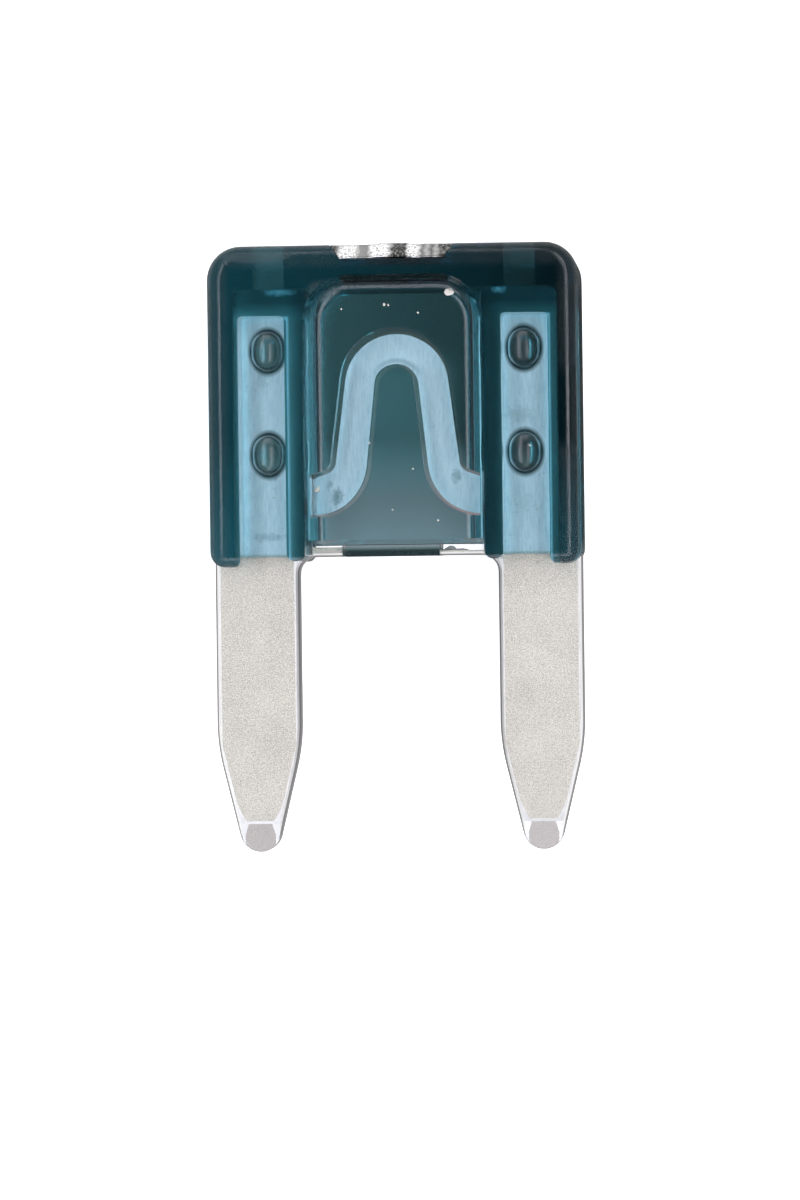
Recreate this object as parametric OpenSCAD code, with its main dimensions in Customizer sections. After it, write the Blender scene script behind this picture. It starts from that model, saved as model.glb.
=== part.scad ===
// Two-blade miniature automotive fuse, lying on its back.
// X runs across the blades, +Y to the top of the fuse and +Z out of its front face.
// A moulded housing is pushed over one stamped strip and staked into it, and foil is pressed on the top.

/* [Housing] */
// Width across the housing
body_w = 9.3; // [9.0:0.05:10.2]
// Height from the housing's bottom edge to its top
body_h = 7.79; // [7.2:0.01:9.0]
// Thickness from front to back
body_t = 3.8; // [3.6:0.05:4.6]
// Radius of the two upper corners, seen from the front
corner_r = 0.85; // [0.5:0.05:1.2]
// Rounding round the edges of the front and back faces
edge_r = 0.36; // [0.15:0.01:0.45]
// Wall of plastic outside a terminal
side_wall = 0.58; // [0.45:0.01:0.62]
// Plastic above the upper end of a terminal
top_wall = 1.07; // [0.95:0.01:1.4]
// How far the feet of the outer ribs hang below the bottom edge
outer_foot_drop = 0.24; // [0.1:0.01:0.4]
// How far the feet of the inner ribs hang below the bottom edge
inner_foot_drop = 0.1; // [0.03:0.01:0.25]
// Radius of the feet's corners
foot_r = 0.18; // [0.05:0.01:0.19]
// Running clearance between the strip and its slot, on each face and edge
slot_clear = 0.03; // [0.01:0.01:0.06]

/* [Staking pockets] */
// Width of a pocket
pocket_w = 1.17; // [1.05:0.01:1.3]
// How far a pocket's middle lies outside the middle of its stakes
pocket_shift = 0.06; // [0:0.01:0.1]
// How far the stakes' middle lies outside the middle of the terminal
stake_shift = 0.12; // [0:0.01:0.15]
// Height of the wall above a pocket
pocket_rim = 1.77; // [1.4:0.01:2.0]
// Radius of a pocket's upper corners
pocket_r = 0.12; // [0.05:0.01:0.3]
// Plastic left over the strip at the floor of a pocket
pocket_skin = 0.4; // [0.25:0.01:0.5]
// Height of the lower stakes
stake_low = 2.58; // [2.0:0.02:3.2]
// Distance from a pocket's upper end down to the middle of its upper stake
stake_drop = 0.83; // [0.7:0.01:1.3]
// Width of a stake's hole in the strip
stake_w = 0.8; // [0.6:0.02:0.9]
// Length of a stake's hole in the strip
stake_l = 1.0; // [0.92:0.02:1.3]
// Wall of plastic left round the pit that a staking punch leaves
stake_wall = 0.02; // [0.02:0.01:0.1]
// Depth of the pit
stake_pit = 0.15; // [0.08:0.01:0.25]

/* [Window] */
// Width of the window recess at the face
window_w = 4.5; // [4.4:0.05:4.7]
// Height of the wall above the window
window_rim = 0.77; // [0.7:0.01:1.1]
// Radius of the window's upper corners
window_r = 1.15; // [0.6:0.05:1.6]
// Depth of the window recess
window_depth = 0.55; // [0.3:0.05:0.6]
// Run of the window's sloping wall
window_draft = 0.16; // [0.05:0.01:0.2]
// Radius between the window's wall and its floor
window_fillet = 0.44; // [0.2:0.01:0.6]
// Height of the wall's bottom edge under the window
sill_h = 0.29; // [0.15:0.01:0.45]
// Bevel on the sill
sill_bevel = 0.12; // [0.05:0.01:0.2]
// Width of the lip that hangs below the sill
lip_w = 2.45; // [1.5:0.05:2.8]
// How far the lip's middle lies left of the fuse's middle
lip_offset = 0.155; // [0:0.005:0.3]
// Thickness of the lip
lip_t = 0.45; // [0.2:0.05:0.5]
// Gap between the link and the edge of the relief over it
relief_gap = 0.07; // [0.04:0.01:0.2]
// Gap between the link and the tongue that stands inside it
tongue_gap = 0.06; // [0.03:0.01:0.15]
// How much higher the relief's arch is than an even gap would put it
relief_rise = 0.06; // [0:0.01:0.3]
// Plastic left over the link at the floor of the relief
relief_skin = 0.35; // [0.2:0.01:0.5]

/* [Top] */
// How far a test-probe slot's middle lies inside the middle of the pocket below it
probe_in = 0.14; // [0.05:0.01:0.2]
// Width of a test-probe slot
probe_w = 0.78; // [0.5:0.02:1.0]
// Thickness of a test-probe slot, front to back
probe_t = 1.3; // [0.9:0.05:1.6]
// Width of the marking pad along its lower edge
pad_w = 2.62; // [2.0:0.02:3.0]
// How much wider the pad is on each side at the top
pad_flare = 0.26; // [0.1:0.02:0.4]
// Height of the pad's sloping front
pad_h = 0.38; // [0.2:0.02:0.5]
// Run of the pad's sloping front, front to back
pad_run = 0.5; // [0.3:0.05:0.8]
// How far the pad's top lies below the housing's top
pad_drop = 0.02; // [0:0.01:0.1]
// Thickness of the foil
foil_t = 0.04; // [0.02:0.01:0.06]
// Height of the foil's raised middle
foil_rise = 0.04; // [0.01:0.01:0.06]
// Width of the foil's raised middle
foil_rise_w = 0.8; // [0.4:0.05:1.2]

/* [Strip] */
// Thickness of the stamped strip
strip_t = 0.8; // [0.6:0.02:0.9]
// How far a blade's outer edge lies inside the housing's side
blade_in = 0.015; // [0:0.005:0.1]
// Width of a blade
blade_w = 2.12; // [1.9:0.02:2.3]
// Length of a blade below the housing's bottom edge
blade_l = 7.43; // [6.6:0.01:8.4]
// Slope of a blade's flanks towards its end, in degrees
flank = 13.5; // [10:0.5:18]
// Radius of the long arc from a blade's straight edge into its flank
flank_r = 5; // [3:0.5:7]
// Radius of a blade's end
tip_r = 0.52; // [0.4:0.01:0.6]
// Width of the coined bevel round a blade
bevel_w = 0.09; // [0.05:0.01:0.11]
// Depth of the coined bevel round a blade
bevel_d = 0.1; // [0.04:0.01:0.16]
// Length of the coined facet at a blade's end
facet_l = 0.72; // [0.4:0.02:1.0]
// Thickness of a blade at its very end
tip_t = 0.42; // [0.3:0.02:0.5]
// Radius between a blade and the shoulder inside it
shoulder_r = 0.42; // [0.2:0.02:0.6]
// Gap between the two terminals
terminal_gap = 4.3; // [4.26:0.02:4.5]
// Radius of a terminal's upper corners
terminal_r = 0.2; // [0.05:0.05:0.4]
// Height of the cut tie-bar stub on the left terminal
stub_h = 0.24; // [0.15:0.01:0.28]
// Height of the torn tie-bar stub on the right terminal
torn_h = 0.13; // [0.12:0.01:0.2]
// Thickness of the burr that stands on the torn stub
burr_t = 0.48; // [0.3:0.02:0.6]
// How much higher than the torn stub its burr reaches
burr_h = 0.12; // [0.05:0.01:0.14]

/* [Link] */
// Thickness of the thinned link
link_t = 0.3; // [0.15:0.01:0.5]
// Width of the link
link_w = 0.753; // [0.6:0.001:0.8]
// Outer radius of the link's arch
link_r = 1.305; // [1.2:0.005:1.35]
// Height of the arch's centre
link_h = 4.29; // [4.0:0.01:4.5]
// Lean of a leg's outer edge, in degrees
lean_out = 7.3; // [6:0.1:8]
// Lean of a leg's inner edge, in degrees
lean_in = 6.1; // [5:0.1:7]
// Height of a foot's lower edge
foot_low = 1.05; // [0.9:0.01:1.3]
// Height of a foot's upper edge at its terminal
foot_high = 1.96; // [1.8:0.01:2.2]
// Slope of a foot's upper edge, in degrees
foot_slope = 20; // [10:1:30]
// Radius where a foot's lower edge turns up into the leg
flare_r = 1.36; // [1.1:0.01:1.5]
// Radius where a foot's upper edge turns up into the leg
knee_r = 0.32; // [0.26:0.01:0.5]

/* [Hidden] */
$fn = 48;
past = 0.5; // how far a cut runs on past the surface that it opens
weld = 0.1; // how deep fused shapes run into each other
flat = 0.02; // the least flat that a rounding leaves

slot_t = strip_t + 2 * slot_clear;
blade_pitch = body_w - blade_w - 2 * blade_in;
pocket_z = slot_t / 2 + pocket_skin;
relief_z = slot_t / 2 + relief_skin;
window_z = body_t / 2 - window_depth;
window_top = body_h - window_rim;
terminal_in = terminal_gap / 2;
terminal_out = body_w / 2 - side_wall;
terminal_top = body_h - top_wall;
stake_x = (terminal_in + terminal_out) / 2 + stake_shift;
pocket_x = stake_x + pocket_shift;
pocket_in = pocket_x - pocket_w / 2;
pocket_out = pocket_x + pocket_w / 2;
pocket_top = body_h - pocket_rim;
stake_high = pocket_top - stake_drop;
relief_half = terminal_in - slot_clear / 2;
foil_top = body_h - pad_drop + foil_t + foil_rise;
overall_top = max(body_h, foil_top);
leg_out = link_r + link_h * sin(lean_out); // distance of a leg's outer line from the origin
leg_in = link_r - link_w + link_h * sin(lean_in);
foot_line = terminal_in * sin(foot_slope) + foot_high * cos(foot_slope);
flare_y = foot_low + flare_r;
flare_x = (leg_in + flare_r - flare_y * sin(lean_in)) / cos(lean_in);

// The fuse's own frame has its bottom edge at y = 0 and its middle plane at z = 0.
// This puts it on its back, with the middle of its length at the origin.
module at_rest() {
    translate([0, (blade_l - overall_top) / 2, body_t / 2]) children();
}

module both_sides() {
    children();
    mirror([1, 0, 0]) children();
}

module front_and_back() {
    children();
    mirror([0, 0, 1]) children();
}

module round_rect(w, h, r) {
    square([w - 2 * r, h], center = true);
    square([w, h - 2 * r], center = true);
    for (x = [-1, 1], y = [-1, 1])
        translate([x * (w / 2 - r), y * (h / 2 - r)]) circle(r);
}

module obround(w, l) {
    square([w, l - w], center = true);
    for (y = [-1, 1]) translate([0, y * (l - w) / 2]) circle(w / 2);
}

// A round plate whose two rims are rounded, as at the housing's corners
module rounded_disc(r) {
    rotate_extrude() intersection() {
        round_rect(2 * r, body_t, edge_r);
        translate([0, -body_t / 2]) square([r, body_t]);
    }
}

// The block with rounded corners and edges that the housing's cavities are sunk in
module housing_block() {
    low = -outer_foot_drop;
    low_r = edge_r + flat;
    mid = (body_h + low) / 2;
    translate([0, body_h - corner_r, 0]) rotate([90, 0, 0])
        linear_extrude(body_h - corner_r - low_r - low)
            round_rect(body_w, body_t, edge_r);
    translate([-(body_w / 2 - corner_r), 0, 0]) rotate([90, 0, 90])
        linear_extrude(body_w - 2 * corner_r)
            translate([mid, 0]) round_rect(body_h - low, body_t, edge_r);
    both_sides() {
        translate([body_w / 2 - corner_r, body_h - corner_r, 0]) rounded_disc(corner_r);
        translate([body_w / 2 - low_r, low + low_r, 0]) rounded_disc(low_r);
        translate([body_w / 2 - corner_r - weld, 0, 0]) rotate([90, 0, 90])
            linear_extrude(corner_r - low_r + weld)
                translate([mid - corner_r / 2, 0])
                    round_rect(body_h - low - corner_r, body_t, edge_r);
    }
}

// One rib's foot, seen from the front: x from its inner to its outer edge
module foot_outline(x0, x1, drop) {
    r = min(foot_r, (x1 - x0 - flat) / 2);
    translate([x0, r - drop]) square([x1 - x0, drop + weld]);
    translate([x0 + r, -drop]) square([x1 - x0 - 2 * r, drop + weld]);
    for (x = [x0 + r, x1 - r]) translate([x, r - drop]) circle(r);
}

module strip_slot() {
    linear_extrude(slot_t, center = true) {
        half = terminal_out + slot_clear;
        top = terminal_top + slot_clear;
        translate([-half, -past]) square([2 * half, top + past]);
        translate([-body_w, -body_h]) square([2 * body_w, body_h + slot_clear]);
    }
}

module pocket() {
    translate([pocket_x, 0, pocket_z]) linear_extrude(body_t) {
        translate([-pocket_w / 2, -body_h])
            square([pocket_w, body_h + pocket_top - pocket_r]);
        translate([-pocket_w / 2 + pocket_r, 0])
            square([pocket_w - 2 * pocket_r, pocket_top]);
        for (x = [-1, 1])
            translate([x * (pocket_w / 2 - pocket_r), pocket_top - pocket_r])
                circle(pocket_r);
    }
}

module at_stakes() {
    for (y = [stake_low, stake_high]) translate([stake_x, y, 0]) children();
}

// The shallow, round-ended pit of a staking punch, sunk from the pocket's floor into the stake
module stake_dimple() {
    half = stake_w / 2 - stake_wall;
    run = (stake_l - stake_w) / 2;
    r = (half * half + stake_pit * stake_pit) / (2 * stake_pit);
    translate([0, 0, pocket_z]) intersection() {
        translate([0, 0, r - stake_pit]) {
            rotate([90, 0, 0]) cylinder(h = 2 * run, r = r, center = true);
            for (y = [-1, 1]) translate([0, y * run, 0]) sphere(r);
        }
        translate([0, 0, -half]) linear_extrude(half + flat) square(4 * half, center = true);
    }
}

// The window recess in section: its sloping wall stands half away and meets the floor in a fillet
module window_section(half) {
    rise = window_depth + past;
    lean = atan2(window_draft, window_depth);
    low = half - window_draft;
    mid = low - window_fillet * (1 - sin(lean)) / cos(lean);
    touch = [mid + window_fillet * cos(lean), window_fillet * (1 - sin(lean))];
    polygon([
        [0, 0], [mid, 0], [mid, window_fillet], touch,
        [low + rise * tan(lean), rise], [0, rise]
    ]);
    translate([mid, window_fillet]) circle(window_fillet);
}

module window_recess() {
    corner = [window_w / 2 - window_r, window_top - window_r];
    translate([0, 0, window_z]) {
        both_sides() {
            translate(corner) rotate_extrude($fn = 64) window_section(window_r);
            rotate([90, 0, 0]) translate([0, 0, -corner.y])
                linear_extrude(corner.y + past) window_section(window_w / 2);
        }
        rotate([90, 0, 90]) linear_extrude(2 * corner.x, center = true)
            window_section(window_top);
    }
}

// Where the lines of a leg and of a foot's upper edge meet, given their distances
function knee(p, q) = let (a = lean_out, b = foot_slope)
    [(p * cos(b) - q * sin(a)) / cos(a + b), (q * cos(a) - p * sin(b)) / cos(a + b)];

// An arch on two leaning legs: its lines lie p from the origin and its centre at height yc
module arch_and_legs(p, yc, lean, low) {
    r = p - yc * sin(lean);
    wide = (p - low * sin(lean)) / cos(lean);
    translate([0, yc]) circle(r, $fn = 96);
    polygon([
        [-wide, low], [wide, low],
        [r * cos(lean), yc + r * sin(lean)], [-r * cos(lean), yc + r * sin(lean)]
    ]);
}

// The link's outer outline grown by g, down to its feet, out to x = reach
module link_outside(g, rise, reach) {
    p = leg_out + g;
    q = foot_line + g;
    corner = knee(p, q);
    middle = knee(p + knee_r - g, q + knee_r - g);
    arch_and_legs(p, link_h + rise, lean_out, corner.y);
    both_sides() {
        polygon([
            [0, foot_low - g], [reach, foot_low - g],
            [reach, (q - reach * sin(foot_slope)) / cos(foot_slope)], corner, [0, corner.y]
        ]);
        difference() {
            polygon([
                corner - [weld, weld],
                middle - (knee_r - g) * [sin(foot_slope), cos(foot_slope)],
                middle,
                middle - (knee_r - g) * [cos(lean_out), sin(lean_out)]
            ]);
            translate(middle) circle(knee_r - g);
        }
    }
}

// The tongue between the legs, g inside the link's inner outline
module tongue(g) {
    low = flare_y - (flare_r + g) * sin(lean_in);
    arch_and_legs(leg_in - g, link_h, lean_in, low);
    difference() {
        translate([-flare_x, -past]) square([2 * flare_x, low + past]);
        for (x = [-1, 1]) translate([x * flare_x, flare_y]) circle(flare_r + g, $fn = 96);
    }
}

module link_relief() {
    translate([0, 0, relief_z]) linear_extrude(body_t) difference() {
        link_outside(relief_gap, relief_rise, relief_half);
        tongue(tongue_gap);
    }
}

// The space below the sill, which leaves the lip standing in the middle
module sill_cut() {
    half = window_w / 2;
    lip_z = slot_t / 2 + lip_t;
    rotate([90, 0, 90]) translate([0, 0, -half]) linear_extrude(2 * half) polygon([
        [-body_h, lip_z], [sill_h, lip_z], [sill_h, window_z - sill_bevel],
        [sill_h + sill_bevel, window_z], [sill_h + sill_bevel, body_t], [-body_h, body_t]
    ]);
    lip_in = -lip_offset - lip_w / 2;
    lip_end = -lip_offset + lip_w / 2;
    for (x = [[-half, lip_in], [lip_end, half]])
        translate([x[0], -body_h, 0])
            cube([x[1] - x[0], body_h + sill_h, lip_z + weld]);
}

module probe_slot() {
    low = terminal_top;
    translate([pocket_x - probe_in - probe_w / 2, low, -probe_t / 2])
        cube([probe_w, body_h - low + past, probe_t]);
}

// The marking pad's outline from the front, between its two sloping ends
module pad_outline() {
    low = body_h - pad_h;
    out = pad_flare * (1 + past / pad_h);
    polygon([
        [-pad_w / 2, low], [pad_w / 2, low],
        [pad_w / 2 + out, body_h + past], [-pad_w / 2 - out, body_h + past]
    ]);
}

// What lies under the pad's roof-shaped surface, raised by lift
module pad_roof(lift) {
    ridge = body_h - pad_drop + lift;
    eave = body_h - pad_h + lift;
    rotate([90, 0, 90]) linear_extrude(body_w, center = true) polygon([
        [0, -body_t / 2], [eave, -body_t / 2], [ridge, -body_t / 2 + pad_run],
        [ridge, body_t / 2 - pad_run], [eave, body_t / 2], [0, body_t / 2]
    ]);
}

module pad_cut() {
    difference() {
        linear_extrude(2 * body_t, center = true) pad_outline();
        pad_roof(0);
    }
}

module housing() {
    color("#1f5a63") at_rest() {
        difference() {
            intersection() {
                housing_block();
                linear_extrude(2 * body_t, center = true) {
                    translate([-body_w, 0]) square([2 * body_w, 2 * body_h]);
                    both_sides() {
                        foot_outline(pocket_out, body_w / 2, outer_foot_drop);
                        foot_outline(window_w / 2, pocket_in, inner_foot_drop);
                    }
                }
            }
            difference() {
                strip_slot();
                both_sides() at_stakes() linear_extrude(slot_t + weld, center = true)
                    obround(stake_w - 2 * slot_clear, stake_l - 2 * slot_clear);
            }
            front_and_back() {
                both_sides() {
                    pocket();
                    at_stakes() stake_dimple();
                }
                window_recess();
                link_relief();
                sill_cut();
            }
            both_sides() probe_slot();
            pad_cut();
        }
    }
}

function edge_normal(p, q) = let (d = q - p) [d.y, -d.x] / norm(d);

// A counter-clockwise outline moved inwards by d, with mitred corners
function inset(pts, d) = let (n = len(pts)) [
    for (i = [0 : n - 1])
        let (
            a = edge_normal(pts[(i + n - 1) % n], pts[i]),
            b = edge_normal(pts[i], pts[(i + 1) % n])
        )
        pts[i] - d * (a + b) / (1 + a * b)
];

function arc(c, r, a0, a1, steps) = [
    for (i = [0 : steps]) let (a = a0 + (a1 - a0) * i / steps) c + r * [cos(a), sin(a)]
];

// Half a blade about its middle line: straight, a long arc, a flank and half the round end
function blade_half() = let (
    half = blade_w / 2,
    end = [tip_r * cos(flank), tip_r * (1 - sin(flank)) - blade_l],
    corner_y = end.y + (half - end.x) / tan(flank),
    run = flank_r * tan(flank / 2)
) concat(
    [[half, 0]],
    arc([half - flank_r, corner_y + run], flank_r, 0, -flank, 8),
    arc([0, tip_r - blade_l], tip_r, -flank, -90, 9)
);

function blade_outline() = let (side = blade_half(), n = len(side)) concat(
    [for (p = side) [-p.x, p.y]],
    [for (i = [n - 2 : -1 : 0]) side[i]]
);

// A blade, coined with a bevel all round both faces and a facet on each face of its end
module blade() {
    slope = (strip_t - tip_t) / 2 / facet_l;
    difference() {
        hull() {
            linear_extrude(strip_t - 2 * bevel_d, center = true) polygon(blade_outline());
            linear_extrude(strip_t, center = true) polygon(inset(blade_outline(), bevel_w));
        }
        front_and_back() rotate([90, 0, 90]) linear_extrude(2 * blade_w, center = true)
            polygon([
                [facet_l - blade_l, strip_t / 2], [-past - blade_l, tip_t / 2 - past * slope],
                [-past - blade_l, strip_t], [facet_l - blade_l, strip_t]
            ]);
    }
}

// The bevelled inside corner where a blade widens to its shoulder
module shoulder(height) {
    wide = shoulder_r + bevel_w * (1 + weld / bevel_d);
    difference() {
        translate([0, 0, -strip_t / 2])
            cube([shoulder_r + bevel_w + weld, shoulder_r + height, strip_t]);
        cylinder(h = 2 * strip_t, r = shoulder_r, center = true);
        front_and_back() translate([0, 0, strip_t / 2 - bevel_d])
            cylinder(h = bevel_d + weld, r1 = shoulder_r, r2 = wide);
    }
}

// What was left of the tie-bar, with its lower edges coined: from x0 to x1
module stub(x0, x1, height) {
    face = strip_t / 2;
    rotate([90, 0, 90]) translate([0, 0, x0]) linear_extrude(x1 - x0) polygon([
        [bevel_w, -face], [height, -face], [height, face],
        [bevel_w, face], [0, face - bevel_d], [0, bevel_d - face]
    ]);
}

module terminal() {
    linear_extrude(strip_t, center = true) difference() {
        union() {
            wide = terminal_out - terminal_in;
            translate([terminal_in, weld / 2])
                square([wide, terminal_top - terminal_r - weld / 2]);
            translate([terminal_in + terminal_r, weld / 2])
                square([wide - 2 * terminal_r, terminal_top - weld / 2]);
            for (x = [terminal_in + terminal_r, terminal_out - terminal_r])
                translate([x, terminal_top - terminal_r]) circle(terminal_r);
        }
        at_stakes() obround(stake_w, stake_l);
    }
}

// A blade with its terminal and its stub of the tie-bar, which ends at x = stub_x
module blade_and_terminal(stub_x, height) {
    corner = blade_pitch / 2 - blade_w / 2 - shoulder_r;
    neck = corner + shoulder_r + bevel_w + weld / 2;
    translate([blade_pitch / 2, 0, 0]) blade();
    translate([neck, -2 * weld, -strip_t / 2])
        cube([terminal_out - neck, 3 * weld, strip_t]);
    translate([corner, -shoulder_r, 0]) shoulder(height);
    stub(stub_x, corner + weld / 2, height);
    terminal();
}

module link() {
    linear_extrude(link_t, center = true) difference() {
        link_outside(0, 0, terminal_in + weld);
        tongue(0);
    }
}

// The burr that the cutting of the tie-bar left on the right-hand stub, as [x, share of its height]
module torn_burr(x) {
    crest = [[0.02, 0.3], [0.12, 0.7], [0.22, 1], [0.3, 0.95], [0.38, 0.55], [0.55, 0.6], [0.68, 0.45]];
    foot = torn_h / 2;
    high = torn_h - foot + burr_h;
    linear_extrude(burr_t, center = true) translate([x, foot])
        polygon(concat([[0.05, 0]], [for (p = crest) [p.x, p.y * high]], [[0.75, 0]]));
}

module fuse_strip() {
    color("#d3cfc8") at_rest() {
        stub_left = lip_offset + lip_w / 2 + slot_clear;
        stub_right = lip_w / 2 - lip_offset;
        mirror([1, 0, 0]) blade_and_terminal(stub_left, stub_h);
        blade_and_terminal(stub_right, torn_h);
        torn_burr(stub_right);
        link();
    }
}

module marking_foil() {
    color("#e6e6e4") at_rest() {
        intersection() {
            difference() {
                union() {
                    pad_roof(foil_t);
                    intersection() {
                        pad_roof(foil_t + foil_rise);
                        cube([foil_rise_w, 4 * body_h, 4 * body_t], center = true);
                    }
                }
                pad_roof(0);
            }
            linear_extrude(2 * body_t, center = true) pad_outline();
        }
    }
}

housing();
fuse_strip();
marking_foil();
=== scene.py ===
"""A two-blade miniature automotive fuse, lying on its back and seen from straight above."""

from math import cos, radians, sin

import bpy
from mathutils import Matrix, Vector


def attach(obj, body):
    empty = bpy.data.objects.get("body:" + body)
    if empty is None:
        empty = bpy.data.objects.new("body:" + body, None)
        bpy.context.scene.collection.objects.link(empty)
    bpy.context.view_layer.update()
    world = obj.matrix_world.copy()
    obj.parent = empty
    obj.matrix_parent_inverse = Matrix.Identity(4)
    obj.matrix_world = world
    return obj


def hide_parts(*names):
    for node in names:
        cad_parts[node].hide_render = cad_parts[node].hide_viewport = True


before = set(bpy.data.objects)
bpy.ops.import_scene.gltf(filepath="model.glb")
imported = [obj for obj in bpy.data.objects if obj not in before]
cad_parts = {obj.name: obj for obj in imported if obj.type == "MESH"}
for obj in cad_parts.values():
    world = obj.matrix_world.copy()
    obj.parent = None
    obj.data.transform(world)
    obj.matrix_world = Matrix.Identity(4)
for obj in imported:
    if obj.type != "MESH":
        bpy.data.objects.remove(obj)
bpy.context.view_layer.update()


# The stamped strip.
# One piece of plated zinc alloy is stamped, coined along the blades and thinned at the link.
# The plating is frosted all over, so it is a grainy warm silver, and it is polished on the coined edges.
MM = 0.001

# Places on the strip
CORE_Z = 1.9 * MM
BLADE_X = 3.575 * MM
BLADE_HALF = 1.06 * MM
BLADE_TOP = -0.31 * MM
FLANK_TOP = -4.93 * MM
FLANK_FOOT = -7.24 * MM
FLANK_LEAN = 0.24
FACET_TOP = -6.92 * MM
TIP_HALF = 0.506 * MM
TIP_ROUND = 0.40 * MM
MOUTH = -0.21 * MM
MOUTH_FADE = 0.1 * MM
STUB_TOP = 0.12 * MM
POCKET_X = 3.29 * MM
POCKET_HALF = 0.585 * MM
POCKET_TOP = 5.81 * MM
POCKET_FADE = 0.05 * MM
TERMINAL_TOP = 6.2 * MM
STAKES = [(-3.23, 2.37), (-3.23, 4.98), (3.23, 2.37), (3.23, 4.98)]
STAKE_WIDE = 0.40
STAKE_TALL = 0.51

# The frosted plating, and the duller facets at the tips
SILVER = (0.69, 0.658, 0.585, 1)
SILVER_DULL = (0.325, 0.307, 0.274, 1)
FLECK = (0.24, 0.234, 0.228, 1)
FACET_TONE = (0.43, 0.40, 0.38, 1)
FACET_DULL = (0.31, 0.29, 0.275, 1)
GRAIN = 0.024 * MM
GRAIN_DEEP = 0.004 * MM
GRAIN_STRENGTH = 0.6
SPECKLE = (0.4, 0.6, 0, 0.85)
CLOUD = 1.1 * MM
CLOUDING = (-0.05, 0.12)
FLECK_WIDE = 1.7 * GRAIN
FLECKS = (0.27, 0.36, 0.55, 0)
FROSTED_ROUGH = (0.5, 0.36)

# The polished border, and the grey lines of the stamped flanks outside it
POLISHED = (0.97, 0.96, 0.95, 1)
POLISHED_ROUGH = 0.28
BORDER = 0.125 * MM
BORDER_AT_TIP = 0.15 * MM
BORDER_GROWS = -6.2 * MM
BORDER_CURVE = 2.5
BORDER_RAGGED = 0.015 * MM
BAND_Y = FACET_TOP + 0.03 * MM
BAND_HALF = 0.035 * MM
BAND_FADE = (FACET_TOP - 0.02 * MM, FACET_TOP - 0.3 * MM, 1, 0)
OUTLINE = 0.035 * MM
OUTLINE_TONE = (0.32, 0.31, 0.305, 1)
FLANK_TONE = (0.60, 0.58, 0.57, 1)
FLANK_TURN = (0.1, 0.3)
ROUND_END = 0.91
COIN_Z = 0.345 * MM
COINED_MOST = 0.93
COINED_LEAST = 0.2

# The metal inside the housing: a brighter, bluish copy of the plating is painted light where thin plastic shows it,
# and darker copies are painted shade under the thick plastic
PAINTED_LIGHT_METAL = (1.0, 0.945, 1.0, 1)
PAINTED_LIGHT_DULL = (0.86, 0.83, 0.90, 1)
DRAWN_WIDE = 0.05 * MM
DRAWN_OUT = 0.12
DRAWN = (0.3, 0.6)
DARK_MARK = (0.22, 0.27, 0.30, 1)
DARK_IN_FLECKS = 0.5
# Painted shade under the thick plastic, lighter on the left than on the right
PAINTED_SHADE_LEFT = (0.50, 0.48, 0.46, 1)
PAINTED_SHADE_RIGHT = (0.24, 0.25, 0.24, 1)
PAINTED_SHADE_SIDES = (-3.5 * MM, 3.5 * MM)
UNLIT = (0.05, 0.07, 0.075, 1)
UNLIT_BY_WINDOW = (2.2 * MM, 2.7 * MM, 0.85, 0)
UNLIT_AT_TOP = (POCKET_TOP, TERMINAL_TOP, 0, 0.8)
UNLIT_ROUND_STAKES = (1.06, 1.3)
OPEN_LINK = (2.12 * MM, 2.18 * MM, 1, 0)
LEVEL_FACE = (0.3, 0.6)
RAGGED_SIZE = 0.12 * MM
DARK_PATCH_FADE = (0.4, 1.1)
DARK_PATCH_RAGGED = 0.5
DARK_PATCHES = [
    (-1.55, 1.30, 0.16, 0.24, 0.75), (-1.72, 1.62, 0.10, 0.12, 0.4), (1.48, 1.78, 0.14, 0.20, 0.5),
    (-3.18, 1.84, 0.22, 0.14, 0.5), (-3.36, 4.25, 0.16, 0.3, 0.3), (3.1, 3.3, 0.4, 0.25, 0.25),
    (3.2, 1.1, 0.3, 0.3, 0.15), (-3.3, 0.3, 0.5, 0.12, 0.3),
]
# Painted highlights where the probe slots end, in the painted light colour
GLINT_FADE = (0.0, 1.0)
GLINT_RAGGED = 0.3
GLINTS = [(-2.92, 6.46, 0.50, 0.13, 0.8), (2.62, 6.46, 0.22, 0.14, 0.7)]
ARCH_AT = (0.0, 4.08)
ARCH_LINE = 0.64
ARCH_FADE = (0.02, 0.09, 0.4, 0)
ARCH_ENDS = (4.3 * MM, 4.6 * MM)


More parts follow.
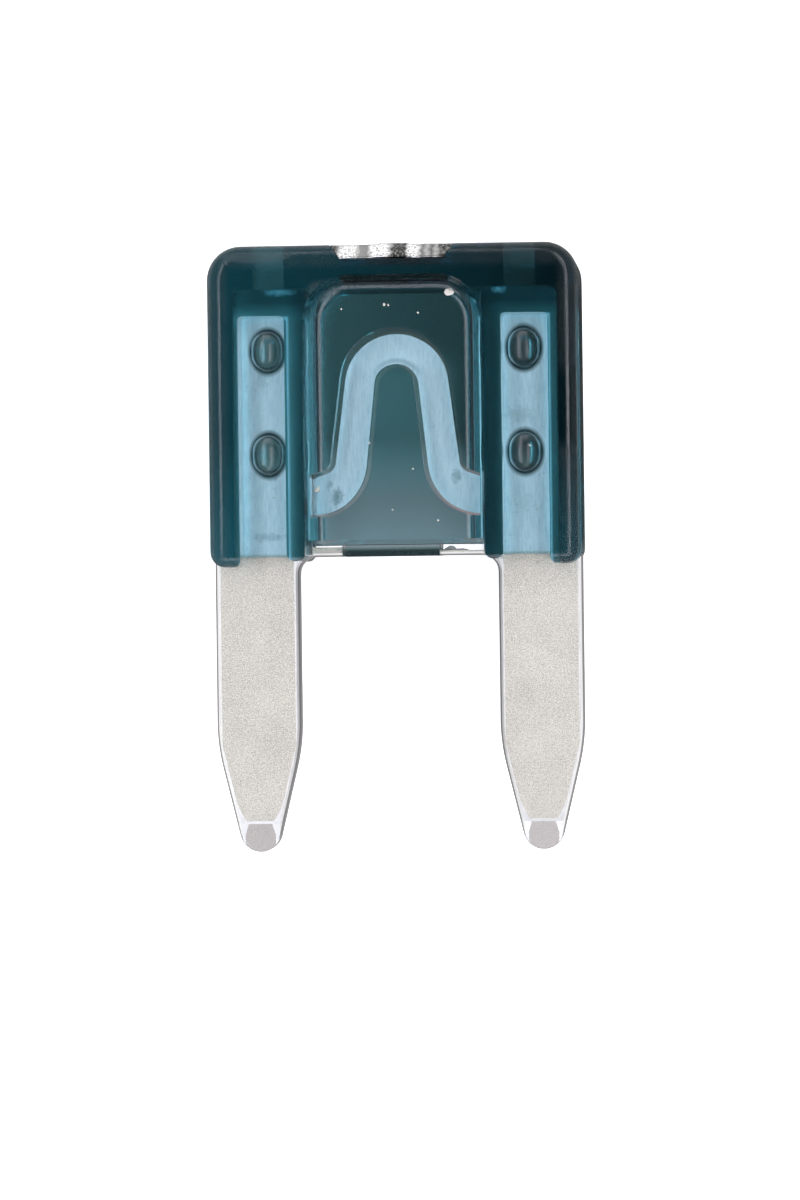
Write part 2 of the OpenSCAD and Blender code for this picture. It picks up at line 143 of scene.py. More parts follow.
class Wiring:
    """A node tree that is written down one node at a time."""

    def __init__(self, tree):
        self.tree = tree

    def add(self, kind, settings=None, **inputs):
        """Add a node with its settings, and feed its inputs by their names."""
        node = self.tree.nodes.new(kind)
        for key, value in (settings or {}).items():
            setattr(node, key, value)
        for key, value in inputs.items():
            self.feed(node.inputs[key.replace("_", " ")], value)
        return node

    def feed(self, socket, value):
        """Link a socket to another one, or set it to a plain value."""
        if isinstance(value, bpy.types.NodeSocket):
            self.tree.links.new(value, socket)
        else:
            socket.default_value = value

    def feed_all(self, node, values):
        for socket, value in zip(node.inputs, values):
            self.feed(socket, value)
        return node

    def sum(self, operation, *values):
        return self.feed_all(self.add("ShaderNodeMath", {"operation": operation}), values).outputs[0]

    def spread(self, value, low, high, to_low=0.0, to_high=1.0, soft=False):
        """Turn the range from low to high into another one, and hold its ends."""
        node = self.add("ShaderNodeMapRange", {"interpolation_type": "SMOOTHSTEP" if soft else "LINEAR"})
        return self.feed_all(node, (value, low, high, to_low, to_high)).outputs[0]

    def vary(self, noise, to_low, to_high):
        """Spread the range that a noise mostly fills."""
        return self.spread(noise, 0.3, 0.7, to_low, to_high)

    def off(self, value, middle):
        """How far a value is from a middle one, on either side."""
        return self.sum("ABSOLUTE", self.sum("SUBTRACT", value, middle))

    def both(self, first, second):
        return self.sum("MULTIPLY", first, second)

    def either(self, first, second):
        return self.sum("MAXIMUM", first, second)

    def below(self, value, limit):
        return self.sum("LESS_THAN", value, limit)

    def above(self, value, limit):
        return self.sum("GREATER_THAN", value, limit)

    def vector(self, x, y, z):
        return self.add("ShaderNodeCombineXYZ", X=x, Y=y, Z=z).outputs[0]

    def split(self, vector):
        return self.add("ShaderNodeSeparateXYZ", Vector=vector).outputs

    def move(self, operation, vector, by):
        node = self.add("ShaderNodeVectorMath", {"operation": operation})
        return self.feed_all(node, (vector, by)).outputs["Vector"]

    def length(self, vector):
        return self.add("ShaderNodeVectorMath", {"operation": "LENGTH"}, Vector=vector).outputs["Value"]


class Finish(Wiring):
    """A piece's material. Its patterns stay in place on the piece."""

    def __init__(self, name):
        self.material = bpy.data.materials.new(name)
        self.material.use_nodes = True
        super().__init__(self.material.node_tree)
        self.shader = self.tree.nodes["Principled BSDF"]
        self.place = self.add("ShaderNodeTexCoord").outputs["Object"]
        self.x, self.y, self.z = self.split(self.place)

    def set(self, name, value):
        self.feed(self.shader.inputs[name], value)

    def noise(self, size, detail=3, rough=0.5, place=None):
        node = self.add("ShaderNodeTexNoise", Scale=1 / size, Detail=detail, Roughness=rough,
                        Vector=place or self.place)
        return node.outputs["Fac"]

    def mix(self, share, a, b):
        """A colour between a and b."""
        node = self.add("ShaderNodeMix", {"data_type": "RGBA"})
        for number, value in ((0, share), (6, a), (7, b)):
            self.feed(node.inputs[number], value)
        return node.outputs[2]

    def between(self, share, a, b):
        """A number between a and b."""
        return self.add("ShaderNodeMix", Factor=share, A=a, B=b).outputs["Result"]

    def oval(self, x, y, wide, tall):
        """How far a place is from the middle of an upright oval, with 1 at its edge."""
        away = self.move("SUBTRACT", self.place, (x * MM, y * MM, 0))
        return self.length(self.move("MULTIPLY", away, (1 / (wide * MM), 1 / (tall * MM), 0)))

    def stakes(self, low, high):
        """One inside the four staked ovals, fading to nothing from low to high."""
        inside = 0.0
        for x, y in STAKES:
            stake = self.oval(x, y, STAKE_WIDE, STAKE_TALL)
            inside = self.either(inside, self.spread(stake, low, high, 1, 0))
        return inside

    def relief(self, height, depth, strength):
        node = self.add("ShaderNodeBump", Height=height, Distance=depth, Strength=strength)
        self.set("Normal", node.outputs["Normal"])

    def wear(self, piece):
        piece.data.materials.clear()
        piece.data.materials.append(self.material)


plating = Finish("frosted_plating")
from_middle = plating.sum("ABSOLUTE", plating.x)
turned = plating.split(plating.add("ShaderNodeNewGeometry").outputs["Normal"])["Z"]
level = plating.sum("ABSOLUTE", turned)

# Bare metal below the housing, with a grainy face and a flat facet at each tip
grain = plating.noise(GRAIN, detail=2, rough=0.7)
cloud = plating.noise(CLOUD)
tone = plating.sum("ADD", plating.spread(grain, *SPECKLE), plating.vary(cloud, *CLOUDING))
fleck = plating.spread(plating.noise(FLECK_WIDE, detail=1), *FLECKS)
frosted = plating.mix(fleck, plating.mix(tone, SILVER_DULL, SILVER), FLECK)
facet = plating.mix(tone, FACET_DULL, FACET_TONE)
on_facet = plating.below(plating.y, FACET_TOP)
above_facet = plating.above(plating.y, FACET_TOP)
face = plating.mix(on_facet, frosted, facet)

# The polished border widens toward the tip, and a narrow band crosses the blade above the facet
foot_half = BLADE_HALF - FLANK_LEAN * (FLANK_TOP - FLANK_FOOT)
half_width = plating.spread(plating.y, FLANK_FOOT, FLANK_TOP, foot_half, BLADE_HALF)
from_edge = plating.sum("SUBTRACT", half_width, plating.off(from_middle, BLADE_X))
to_tip = plating.sum("POWER", plating.spread(plating.y, BORDER_GROWS, BAND_Y), BORDER_CURVE)
past_band = plating.spread(plating.y, *BAND_FADE)
corner = plating.either(plating.both(to_tip, above_facet), plating.both(past_band, on_facet))
border = plating.sum("ADD", BORDER, plating.both(corner, BORDER_AT_TIP))
ragged_edge = plating.sum("ADD", from_edge, plating.vary(grain, -BORDER_RAGGED, BORDER_RAGGED))
on_border = plating.below(ragged_edge, border)
on_band = plating.below(plating.off(plating.y, BAND_Y), BAND_HALF)
on_blade = plating.below(plating.y, BLADE_TOP)
coined = plating.both(plating.below(level, COINED_MOST), plating.above(level, COINED_LEAST))
shiny = plating.either(coined, plating.both(plating.either(on_border, on_band), on_blade))

# The flanks are as the stamp left them, and show as a thin grey outline
from_core = plating.off(plating.z, CORE_Z)
past_foot = plating.sum("SUBTRACT", plating.y, FLANK_FOOT)
from_blade = plating.sum("SUBTRACT", from_middle, BLADE_X)
round_end = plating.length(plating.vector(plating.sum("DIVIDE", from_blade, TIP_HALF),
                                          plating.sum("DIVIDE", past_foot, TIP_ROUND), 0))
at_end = plating.both(plating.above(round_end, ROUND_END), plating.below(plating.y, FLANK_FOOT))
at_flank = plating.either(plating.both(plating.below(from_core, COIN_Z), above_facet),
                          plating.sum("SUBTRACT", plating.below(from_edge, OUTLINE), above_facet))
outline = plating.either(at_flank, at_end)
shiny = plating.both(shiny, plating.sum("SUBTRACT", 1, outline))
flank = plating.mix(plating.spread(level, *FLANK_TURN), FLANK_TONE, OUTLINE_TONE)
bare = plating.mix(outline, plating.mix(shiny, face, POLISHED), flank)

# Metal inside the housing gets painted light in the pockets and the link, and painted shade under the thick plastic
drawn = plating.noise(DRAWN_WIDE, detail=2, place=plating.move("MULTIPLY", plating.place, (1, DRAWN_OUT, 1)))
painted_lit_metal = plating.mix(plating.spread(drawn, *DRAWN), PAINTED_LIGHT_DULL, PAINTED_LIGHT_METAL)
painted_lit_metal = plating.mix(plating.both(fleck, DARK_IN_FLECKS), painted_lit_metal, DARK_MARK)
open_link = plating.spread(from_middle, *OPEN_LINK)
beside_pocket = plating.spread(plating.off(from_middle, POCKET_X), POCKET_HALF, POCKET_HALF + POCKET_FADE, 1, 0)
over_pocket = plating.spread(plating.y, POCKET_TOP, POCKET_TOP + POCKET_FADE, 1, 0)
open_metal = plating.either(open_link, plating.both(beside_pocket, over_pocket))
# Painted shade under the thick plastic: lighter on the left, darkest beside the window and toward the terminals'
# tops
painted_shade = plating.mix(plating.spread(plating.x, *PAINTED_SHADE_SIDES), PAINTED_SHADE_LEFT, PAINTED_SHADE_RIGHT)
painted_shade = plating.mix(plating.spread(from_middle, *UNLIT_BY_WINDOW), painted_shade, UNLIT)
painted_shade = plating.mix(plating.spread(plating.y, *UNLIT_AT_TOP), painted_shade, UNLIT)
# Painted light on the up-facing metal seen through thin plastic; its sides and all else keep the painted shade
inside = plating.mix(plating.both(open_metal, plating.spread(level, *LEVEL_FACE)), painted_shade, painted_lit_metal)

# Dark patches, painted highlights where the probe slots end, a dark line round the arch, and painted shade round
# the stakes
raggedness = plating.noise(RAGGED_SIZE, detail=4, rough=0.7)
for marks, ragged, fade, colour in ((DARK_PATCHES, DARK_PATCH_RAGGED, DARK_PATCH_FADE, DARK_MARK),
                                    (GLINTS, GLINT_RAGGED, GLINT_FADE, PAINTED_LIGHT_METAL)):
    for x, y, wide, tall, strength in marks:
        reach = plating.sum("ADD", plating.oval(x, y, wide, tall), plating.vary(raggedness, -ragged, ragged))
        inside = plating.mix(plating.spread(reach, *fade, strength, 0), inside, colour)
from_arch = plating.off(plating.oval(*ARCH_AT, 1, 1), ARCH_LINE)
arch_line = plating.both(plating.spread(from_arch, *ARCH_FADE), plating.spread(plating.y, *ARCH_ENDS))
inside = plating.mix(arch_line, inside, DARK_MARK)
inside = plating.mix(plating.stakes(*UNLIT_ROUND_STAKES), inside, UNLIT)

above_stub = plating.sum("SUBTRACT", plating.y, plating.both(open_link, STUB_TOP - MOUTH))
sheltered = plating.spread(above_stub, MOUTH, MOUTH + MOUTH_FADE)
plating.set("Base Color", plating.mix(sheltered, bare, inside))
plating.set("Roughness", plating.between(shiny, plating.vary(grain, *FROSTED_ROUGH), POLISHED_ROUGH))
plating.set("Metallic", 1)
plating.relief(grain, GRAIN_DEEP, GRAIN_STRENGTH)
plating.wear(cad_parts["fuse_strip"])


# The housing.
# It is one injection moulding of translucent dark teal plastic, pushed over the strip from above.
# Punches then stake it through the strip's four holes, which leaves the round-ended pits.
TEAL = (0.29, 0.70, 0.759, 1)
TEAL_PER_METRE = 1420
PLASTIC_IOR = 1.42
MID_Z = 1.9 * MM
GLOSS_PATCH = 0.6 * MM
GLOSS = (0.05, 0.09)

# How much rougher the plastic is in each place than its gloss, and where each place begins and ends
WINDOW_MATT = 0.03
WINDOW_SIDE = (2.4 * MM, 2.5 * MM, 1, 0)
WINDOW_TOP = (6.95 * MM, 7.05 * MM, 1, 0)
WINDOW_FLOOR = (1.2 * MM, 1.3 * MM)
EDGE_MATT = 0.15
SIDE_EDGE = (4.0 * MM, 4.2 * MM)
TOP_EDGE = (6.9 * MM, 7.1 * MM)
RUBBED_SIDE = (4.0 * MM, 4.1 * MM)
RUBBED_Y = 3.45 * MM
RUBBED_REACH = (0.7 * MM, 1.1 * MM, 1, 0)
PIT_MATT = 0.15
PIT_EDGE = (0.95, 1.1)
HAZE = [(-3.45, 7.30, 1.15, 0.20, 0.34), (-2.12, 4.30, 0.15, 2.30, 0.26), (-1.75, 6.45, 0.45, 0.30, 0.2)]
HAZE_FADE = (0.6, 1.1)

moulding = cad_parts["housing"]
resin = Finish("teal_moulding")
resin.set("Base Color", (1, 1, 1, 1))
resin.set("Transmission Weight", 1)
resin.set("IOR", PLASTIC_IOR)
aside = resin.sum("ABSOLUTE", resin.x)
from_face = resin.off(resin.z, MID_Z)
on_floor = resin.both(resin.spread(resin.y, *WINDOW_TOP), resin.spread(from_face, *WINDOW_FLOOR))
in_window = resin.both(resin.spread(aside, *WINDOW_SIDE), on_floor)
at_edge = resin.either(resin.spread(aside, *SIDE_EDGE), resin.spread(resin.y, *TOP_EDGE))
rubbed = resin.both(resin.spread(resin.x, *RUBBED_SIDE), resin.spread(resin.off(resin.y, RUBBED_Y), *RUBBED_REACH))
at_edge = resin.both(at_edge, resin.sum("SUBTRACT", 1, rubbed))
matt = resin.either(resin.both(at_edge, EDGE_MATT), resin.both(resin.stakes(*PIT_EDGE), PIT_MATT))
matt = resin.either(resin.both(in_window, WINDOW_MATT), matt)
for x, y, wide, tall, amount in HAZE:
    matt = resin.either(matt, resin.spread(resin.oval(x, y, wide, tall), *HAZE_FADE, amount, 0))
resin.set("Roughness", resin.sum("ADD", resin.vary(resin.noise(GLOSS_PATCH), *GLOSS), matt))
tint = resin.add("ShaderNodeVolumeAbsorption", Color=TEAL, Density=TEAL_PER_METRE)
resin.feed(resin.tree.nodes["Material Output"].inputs["Volume"], tint.outputs["Volume"])
resin.wear(moulding)


# The marking foil.
# Thin silver stamping foil is pressed over the pad on the housing's top with a hot die, and it stays a little wavy.
# The sheet follows the pad's roof, and its waves run from back to front.
FOIL_EAVE = 7.20 * MM
FOIL_RIDGE = 7.56 * MM
FOIL_RUN = 0.5 * MM
FOIL_DEEP = 3.8 * MM
FOIL_HALF = 1.30 * MM
FOIL_FLARE = 0.68
FOIL_THICK = 0.02 * MM
FOIL_SWELL = 0.03 * MM
SWELL_FADE = (0.3 * MM, 0.55 * MM, 1, 0)
FOIL_WAVE = 0.012 * MM
WAVE_WIDE = 0.36 * MM
WAVE_LONG = 9 * MM
WAVE_DRAW = 4.1
FOIL_COLUMNS = 151
FOIL_ROWS = 49
SLOPE_SHARE = 0.125
WELD = 1e-7

FOIL_SILVER = (0.82, 0.81, 0.80, 1)
FLAW_TONE = (0.3, 0.29, 0.28, 1)
FLAW_WIDE = 0.05 * MM
FLAWS = (0.36, 0.5)
FLAW_DEEP = 0.002 * MM
FLAW_STRENGTH = 0.5
FOIL_HAZE = 0.4 * MM
FOIL_ROUGH = (0.06, 0.2)
SWAY_PATCH = 0.3 * MM
SWAY = 0.05 * MM
# Painted reflections on the foil's front slope: light and dark streaks, given as places and shades across it
PAINTED_REFLECTION_SIDES = (-1.6 * MM, 1.6 * MM)
PAINTED_REFLECTION_SLOPE = (FOIL_DEEP - 1.4 * FOIL_RUN, FOIL_DEEP - FOIL_RUN)
FOIL_PAINTED_REFLECTIONS = [
    (0.05, 0.03), (0.07, 0.2), (0.10, 0.95), (0.20, 0.9), (0.25, 0.3), (0.30, 0.25), (0.34, 1.0), (0.47, 1.0),
    (0.51, 0.03), (0.61, 0.04), (0.64, 1.0), (0.69, 0.9), (0.73, 0.15), (0.78, 0.5), (0.82, 0.1), (0.85, 0.5),
    (0.88, 0.03), (0.96, 0.04),
]


class Recipe(Wiring):
    """A Geometry Nodes tree with named inputs for its sizes."""

    def __init__(self, name, sizes):
        super().__init__(bpy.data.node_groups.new(name, "GeometryNodeTree"))
        self.sizes = sizes
        self.tree.interface.new_socket("Geometry", in_out="INPUT", socket_type="NodeSocketGeometry")
        for label in sizes:
            self.tree.interface.new_socket(label, in_out="INPUT", socket_type="NodeSocketFloat")
        self.tree.interface.new_socket("Geometry", in_out="OUTPUT", socket_type="NodeSocketGeometry")
        self.given = self.tree.nodes.new("NodeGroupInput").outputs

    def here(self):
        return self.split(self.add("GeometryNodeInputPosition").outputs[0])

    def flip(self, mesh):
        return self.add("GeometryNodeFlipFaces", Mesh=mesh).outputs[0]

    def carry_out(self, name, geometry, finish, mesh=None):
        """Run the tree on a new object and turn the result into its plain mesh."""
        solid = self.add("GeometryNodeRealizeInstances", Geometry=geometry).outputs[0]
        dressed = self.add("GeometryNodeSetMaterial", Geometry=solid, Material=finish.material).outputs[0]
        self.feed(self.add("NodeGroupOutput").inputs[0], dressed)
        piece = bpy.data.objects.new(name, mesh or bpy.data.meshes.new(name))
        bpy.context.scene.collection.objects.link(piece)
        step = piece.modifiers.new(name, "NODES")
        step.node_group = self.tree
        for item in self.tree.interface.items_tree:
            if item.name in self.sizes:
                step[item.identifier] = self.sizes[item.name]
        whole = bpy.data.meshes.new_from_object(piece.evaluated_get(bpy.context.evaluated_depsgraph_get()))
        piece.modifiers.clear()
        piece.data = whole
        return piece


sheet = Recipe("foil_sheet", {
    "Eave": FOIL_EAVE, "Ridge": FOIL_RIDGE, "Run": FOIL_RUN, "Deep": FOIL_DEEP, "Half": FOIL_HALF,
    "Flare": FOIL_FLARE, "Thick": FOIL_THICK, "Swell": FOIL_SWELL, "Wave": FOIL_WAVE, "Wave length": WAVE_WIDE,
})
size = sheet.given

# A flat grid is bent up the back slope, along the roof and down the front slope, with its face up
grid = sheet.add("GeometryNodeMeshGrid", Size_X=1.0, Size_Y=1.0, Vertices_X=FOIL_COLUMNS, Vertices_Y=FOIL_ROWS)
start = sheet.here()
along = sheet.sum("ADD", start["Y"], 0.5)
back_slope = sheet.spread(along, 0, SLOPE_SHARE)
roof = sheet.spread(along, SLOPE_SHARE, 1 - SLOPE_SHARE)
front_slope = sheet.spread(along, 1 - SLOPE_SHARE, 1)
on_slopes = sheet.both(sheet.sum("ADD", back_slope, front_slope), size["Run"])
on_roof = sheet.both(roof, sheet.sum("SUBTRACT", size["Deep"], sheet.both(size["Run"], 2)))
depth = sheet.sum("ADD", on_slopes, on_roof)
rise = sheet.sum("SUBTRACT", size["Ridge"], size["Eave"])
climb = sheet.both(rise, sheet.sum("SUBTRACT", back_slope, front_slope))
half = sheet.sum("ADD", size["Half"], sheet.both(climb, size["Flare"]))
side = sheet.both(sheet.both(start["X"], 2), half)
laid = sheet.add("GeometryNodeSetPosition", Geometry=sheet.flip(grid.outputs["Mesh"]),
                 Position=sheet.vector(side, sheet.sum("ADD", size["Eave"], climb), depth)).outputs[0]

# It gets its thickness and waves, and a swell in its middle, and is closed from below
raised = sheet.add("GeometryNodeExtrudeMesh", Mesh=laid, Offset=sheet.vector(0.0, 1.0, 0.0),
                   Offset_Scale=size["Thick"], Individual=False)
here = sheet.here()
wave_place = sheet.vector(sheet.sum("DIVIDE", here["X"], size["Wave length"]),
                          sheet.sum("DIVIDE", here["Z"], WAVE_LONG), WAVE_DRAW)
wave = sheet.add("ShaderNodeTexNoise", Scale=1.0, Detail=1.0, Roughness=0.4, Vector=wave_place).outputs["Fac"]
swell = sheet.both(sheet.spread(sheet.sum("ABSOLUTE", here["X"]), *SWELL_FADE, soft=True), size["Swell"])
lift = sheet.sum("ADD", swell, sheet.both(sheet.vary(wave, 0, 1), size["Wave"]))
waved = sheet.add("GeometryNodeSetPosition", Geometry=raised.outputs["Mesh"], Selection=raised.outputs["Top"],
                  Offset=sheet.vector(0.0, lift, 0.0)).outputs[0]
smooth = sheet.add("GeometryNodeSetShadeSmooth", Geometry=waved, Selection=raised.outputs["Top"]).outputs[0]
joined = sheet.add("GeometryNodeJoinGeometry")
for skin in (smooth, sheet.flip(laid)):
    sheet.feed(joined.inputs[0], skin)
closed = sheet.add("GeometryNodeMergeByDistance", Geometry=joined.outputs[0], Distance=WELD).outputs[0]

silvering = Finish("stamping_foil")
# Painted reflections: light and dark streaks across the front slope, swaying a little
sway = silvering.vary(silvering.noise(SWAY_PATCH, detail=2), -SWAY, SWAY)
side_way = silvering.spread(silvering.sum("ADD", silvering.x, sway), *PAINTED_REFLECTION_SIDES)
painted_reflections = silvering.add("ShaderNodeValToRGB", Fac=side_way)
stops = painted_reflections.color_ramp.elements
stops[0].position, stops[1].position = FOIL_PAINTED_REFLECTIONS[0][0], FOIL_PAINTED_REFLECTIONS[-1][0]
for share, _ in FOIL_PAINTED_REFLECTIONS[1:-1]:
    stops.new(share)
for stop, (_, shade) in zip(stops, FOIL_PAINTED_REFLECTIONS):
    stop.color = (shade, shade, shade, 1)
flaw = silvering.noise(FLAW_WIDE, detail=2)
sheen = silvering.mix(silvering.spread(silvering.z, *PAINTED_REFLECTION_SLOPE), FOIL_SILVER, painted_reflections.outputs["Color"])
silvering.set("Base Color", silvering.mix(silvering.spread(flaw, *FLAWS), FLAW_TONE, sheen))
silvering.set("Roughness", silvering.vary(silvering.noise(FOIL_HAZE, detail=2), *FOIL_ROUGH))
silvering.set("Metallic", 1)
silvering.relief(flaw, FLAW_DEEP, FLAW_STRENGTH)

foil = sheet.carry_out("foil_sheet", closed, silvering)
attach(foil, "root")
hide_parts("marking_foil")


# Dust and one chip.
# A few pale grains of dust and one chip of packing board lie in the window and the pockets.
# They are listed one by one, and each rests on the plastic that lies below it.
GRAINS = [
    (1.40, 6.38, 0.09), (-0.22, 6.08, 0.03), (-0.12, 6.06, 0.02), (0.62, 5.86, 0.02), (-1.30, 5.98, 0.018),
    (-0.64, 2.62, 0.02), (0.45, 1.96, 0.018), (-1.52, 1.02, 0.02), (1.06, 0.66, 0.02), (-0.08, 0.94, 0.016),
    (-1.99, 1.48, 0.06), (3.36, 2.52, 0.02), (3.02, 3.3, 0.018), (-3.52, 4.0, 0.02), (-3.1, 1.3, 0.02),
    (3.52, 0.92, 0.018),
]
DROP_FROM = 6
DROP_MOST = 10 * MM
GRAIN_FLAT = 0.45
GRAIN_LONG = 1.3
LUMP_SCALE = 1.3
LUMPS = (0.2, 0.8, -0.8, 0.6)
FULL_TURN = 6.28
TURN_SEED = 7
DUST_DARK = (0.42, 0.38, 0.33, 1)
DUST_PALE = (0.80, 0.77, 0.72, 1)
DUST_PATCH = 0.04 * MM
DUST_ROUGH = 0.9

seeds = bpy.data.meshes.new("grain_places")
seeds.from_pydata([(x * MM, y * MM, DROP_FROM * MM) for x, y, _ in GRAINS], [], [])
grain_size = seeds.attributes.new("grain_size", "FLOAT", "POINT")
grain_size.data.foreach_set("value", [wide * MM for _, _, wide in GRAINS])

dust = Recipe("dust_grains", {"Flatness": GRAIN_FLAT})
below = dust.add("GeometryNodeObjectInfo", Object=moulding).outputs["Geometry"]
hit = dust.add("GeometryNodeRaycast", Target_Geometry=below, Ray_Direction=(0, 0, -1), Ray_Length=DROP_MOST)
dropped = dust.add("GeometryNodeSetPosition", Geometry=dust.given["Geometry"],
                   Position=hit.outputs["Hit Position"]).outputs[0]
ball = dust.add("GeometryNodeMeshIcoSphere", Radius=1.0, Subdivisions=3).outputs["Mesh"]
lump = dust.add("ShaderNodeTexNoise", Scale=LUMP_SCALE, Detail=3.0).outputs["Fac"]
outward = dust.add("ShaderNodeVectorMath", {"operation": "SCALE"}, Scale=dust.spread(lump, *LUMPS),
                   Vector=dust.add("GeometryNodeInputNormal").outputs[0]).outputs[0]
rough_ball = dust.add("GeometryNodeSetPosition", Geometry=ball, Offset=outward).outputs[0]
wide = dust.add("GeometryNodeInputNamedAttribute", Name="grain_size").outputs["Attribute"]
turn = dust.add("FunctionNodeRandomValue", {"data_type": "FLOAT"}, Seed=TURN_SEED)
turn.inputs[2].default_value = 0.0
turn.inputs[3].default_value = FULL_TURN
shape = dust.vector(wide, dust.both(wide, GRAIN_LONG), dust.both(wide, dust.given["Flatness"]))
placed = dust.add("GeometryNodeInstanceOnPoints", Points=dropped, Instance=rough_ball,
                  Rotation=dust.vector(0.0, 0.0, turn.outputs[1]), Scale=shape).outputs[0]

fluff = Finish("pale_dust")
fluff.set("Base Color", fluff.mix(fluff.noise(DUST_PATCH), DUST_DARK, DUST_PALE))
fluff.set("Roughness", DUST_ROUGH)
grains = dust.carry_out("dust_grains", placed, fluff, seeds)
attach(grains, "root")


# The studio.
# The fuse lies on its back on a white floor, under a painted sky with soft panels at its sides.
# The floor glows, and less where the fuse shades it. The camera looks down from a little to the right.
FLOOR_HALF = 0.6
FLOOR_Z = -0.02 * MM
FLOOR_WHITE = (0.93, 0.93, 0.93, 1)
FLOOR_ROUGH = 0.9
BLACK = (0, 0, 0, 1)
WHITE = (1, 1, 1, 1)
SEEN_GLOW = 0.6

# The floor's glow for rays that miss the plastic: beside the blades and the housing, past its top, and far out
BESIDE_BLADES = 0.35
BESIDE_HOUSING = 0.05
BESIDE_AT = (-0.6 * MM, 0.2 * MM)
PAST_TOP = 0.7
PAST_TOP_AT = (7.6 * MM, 8.4 * MM)
BESIDE_FAR = 1.15
FAR_AT = (8 * MM, 15 * MM)

# Its glow for rays that come through the plastic
UNDER_LEFT = 0.20
UNDER_RIGHT = 0.04
UNDER_SIDES = (-4 * MM, 4 * MM)
UNDER_MOUTH = 0.74
UNDER_RIBS = 0.16
SPILL_AT = (2.8 * MM, 0.2 * MM)
WINDOW_HALF = (2.2 * MM, 2.4 * MM, 1, 0)
TONGUE_GLOW = (0.8 * MM, 1.6 * MM, 0.14, 0)
TONGUE_AT = (4.4 * MM, 5.2 * MM, 1, 0)
UNDER_LIP = 0.06
LIP_AT = (-0.05 * MM, 0.15 * MM)
WARM_SPILL = (1, 0.56, 0.56, 1)
WARM_AT = (3.2 * MM, 1.2 * MM)

# The sky, and its panels as x, y, half width, half depth, softness and power on a ceiling one unit up
LOW_SKY_POWER = 0.6
HIGH_SKY = 0.5
ZENITH_POWER = 0.03
HORIZON = 0.02
SKY_TINT = (0.985, 1.0, 1.07, 1)
PANELS = [
    (0.42, 0.0, 0.2, 0.9, 0.12, 4.7),
    (-0.38, 0.2, 0.12, 0.6, 0.10, 4.9),
    (-0.6, 1.5, 0.6, 0.5, 0.2, 3.0),
    (0.0, -1.6, 1.2, 0.7, 0.2, 3.0),
]

# The camera: the photograph is 1200 pixels tall, at 39600 pixels a metre
VIEW_SIZE = 1200 / 39600
VIEW_FAR = 0.150
VIEW_LEAN = radians(3.4)
VIEW_ROLL = radians(0.74)
AIM = Vector((0, -1.32 * MM, 1.9 * MM))
FILM = 36

corners = [(x * FLOOR_HALF, y * FLOOR_HALF, FLOOR_Z) for x, y in ((-1, -1), (1, -1), (1, 1), (-1, 1))]
floor_mesh = bpy.data.meshes.new("floor")
floor_mesh.from_pydata(corners, [], [(0, 1, 2, 3)])
floor = bpy.data.objects.new("floor", floor_mesh)
bpy.context.scene.collection.objects.link(floor)

paper = Finish("white_floor")
rays = paper.add("ShaderNodeLightPath").outputs
seen = rays["Is Camera Ray"]
through = paper.above(rays["Transmission Depth"], 0.5)
paper.set("Base Color", paper.mix(seen, BLACK, FLOOR_WHITE))
paper.set("Roughness", FLOOR_ROUGH)
paper.set("Specular IOR Level", 0)
near_middle = paper.sum("ABSOLUTE", paper.x)
by_window = paper.spread(near_middle, *WINDOW_HALF)
spill = paper.both(paper.spread(paper.y, *SPILL_AT), paper.between(by_window, UNDER_RIBS, UNDER_MOUTH))
tongue = paper.both(paper.spread(near_middle, *TONGUE_GLOW), paper.spread(paper.y, *TONGUE_AT))
under = paper.sum("ADD", paper.spread(paper.x, *UNDER_SIDES, UNDER_LEFT, UNDER_RIGHT),
                  paper.sum("ADD", spill, tongue))
over_lip = paper.spread(paper.y, *LIP_AT)
shaded_lip = paper.both(by_window, paper.sum("SUBTRACT", 1, over_lip))
under = paper.both(under, paper.spread(shaded_lip, 0, 1, 1, UNDER_LIP))
near_by = paper.spread(paper.y, *BESIDE_AT, BESIDE_BLADES, BESIDE_HOUSING)
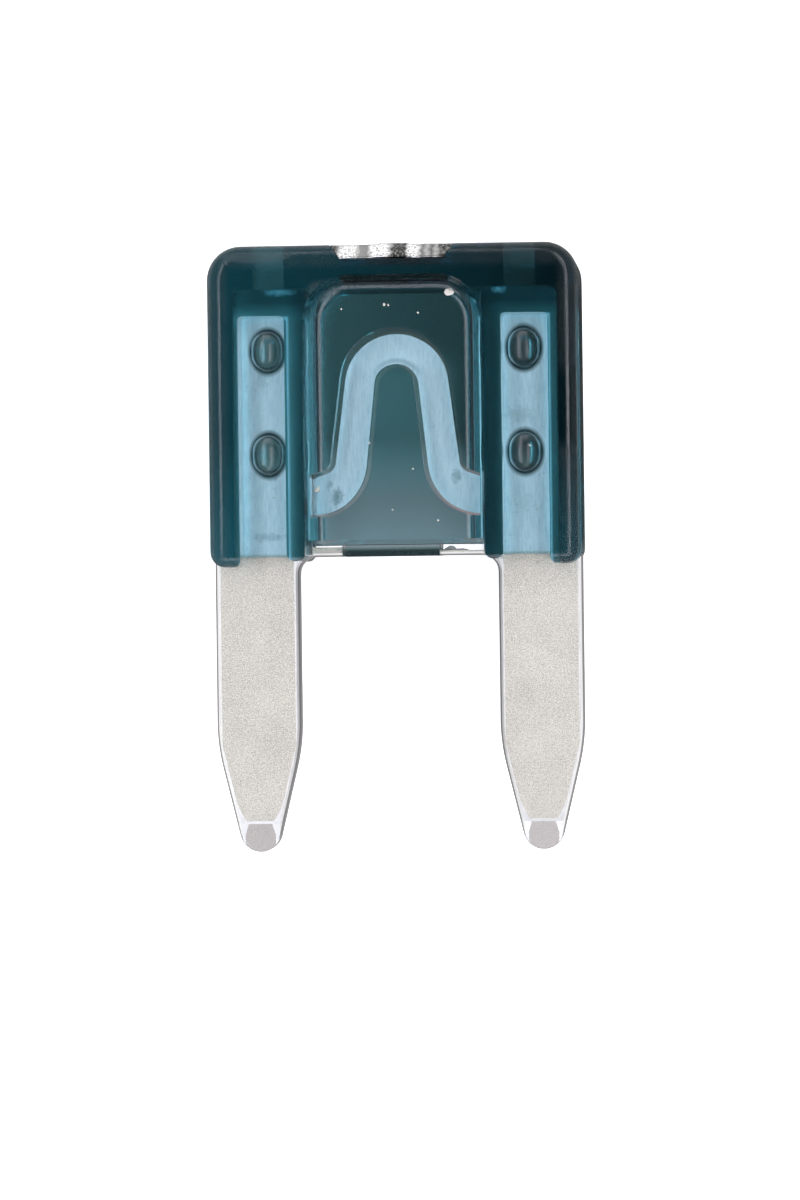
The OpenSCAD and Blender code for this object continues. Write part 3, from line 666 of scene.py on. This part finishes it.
near_by = paper.either(near_by, paper.spread(paper.y, *PAST_TOP_AT, 0, PAST_TOP))
beside = paper.between(paper.spread(paper.length(paper.place), *FAR_AT), near_by, BESIDE_FAR)
paper.set("Emission Strength", paper.between(seen, paper.between(through, beside, under), SEEN_GLOW))
warmth = paper.both(paper.both(paper.both(through, by_window), over_lip), paper.spread(paper.y, *WARM_AT))
paper.set("Emission Color", paper.mix(warmth, WHITE, WARM_SPILL))
paper.wear(floor)

world = bpy.data.worlds.new("studio")
bpy.context.scene.world = world
world.use_nodes = True
sky = Wiring(world.node_tree)
backdrop = sky.tree.nodes["Background"]
toward = sky.split(sky.add("ShaderNodeTexCoord").outputs["Generated"])
up_part = sky.either(toward["Z"], HORIZON)
ceiling_x = sky.sum("DIVIDE", toward["X"], up_part)
ceiling_y = sky.sum("DIVIDE", toward["Y"], up_part)
light = sky.spread(toward["Z"], HIGH_SKY, 1.0, LOW_SKY_POWER, ZENITH_POWER, soft=True)
for x, y, half_x, half_y, soft, power in PANELS:
    in_x = sky.spread(sky.off(ceiling_x, x), half_x - soft, half_x + soft, 1, 0, soft=True)
    in_y = sky.spread(sky.off(ceiling_y, y), half_y - soft, half_y + soft, 1, 0, soft=True)
    light = sky.sum("ADD", light, sky.both(sky.both(in_x, in_y), power))
sky.feed(backdrop.inputs["Color"], SKY_TINT)
sky.feed(backdrop.inputs["Strength"], light)

lens = bpy.data.cameras.new("camera")
lens.sensor_fit = "VERTICAL"
lens.sensor_height = FILM
lens.lens = FILM * VIEW_FAR / VIEW_SIZE
lens.clip_start = 0.01
lens.clip_end = 5
camera = bpy.data.objects.new("camera", lens)
back = Vector((sin(VIEW_LEAN), 0, cos(VIEW_LEAN)))
up = Vector((sin(VIEW_ROLL), cos(VIEW_ROLL), 0))
right = up.cross(back).normalized()
up = back.cross(right)
camera.matrix_world = Matrix.Translation(AIM + VIEW_FAR * back) @ Matrix((right, up, back)).transposed().to_4x4()
bpy.context.scene.collection.objects.link(camera)
bpy.context.scene.camera = camera
bpy.context.scene.view_settings.view_transform = "Standard"
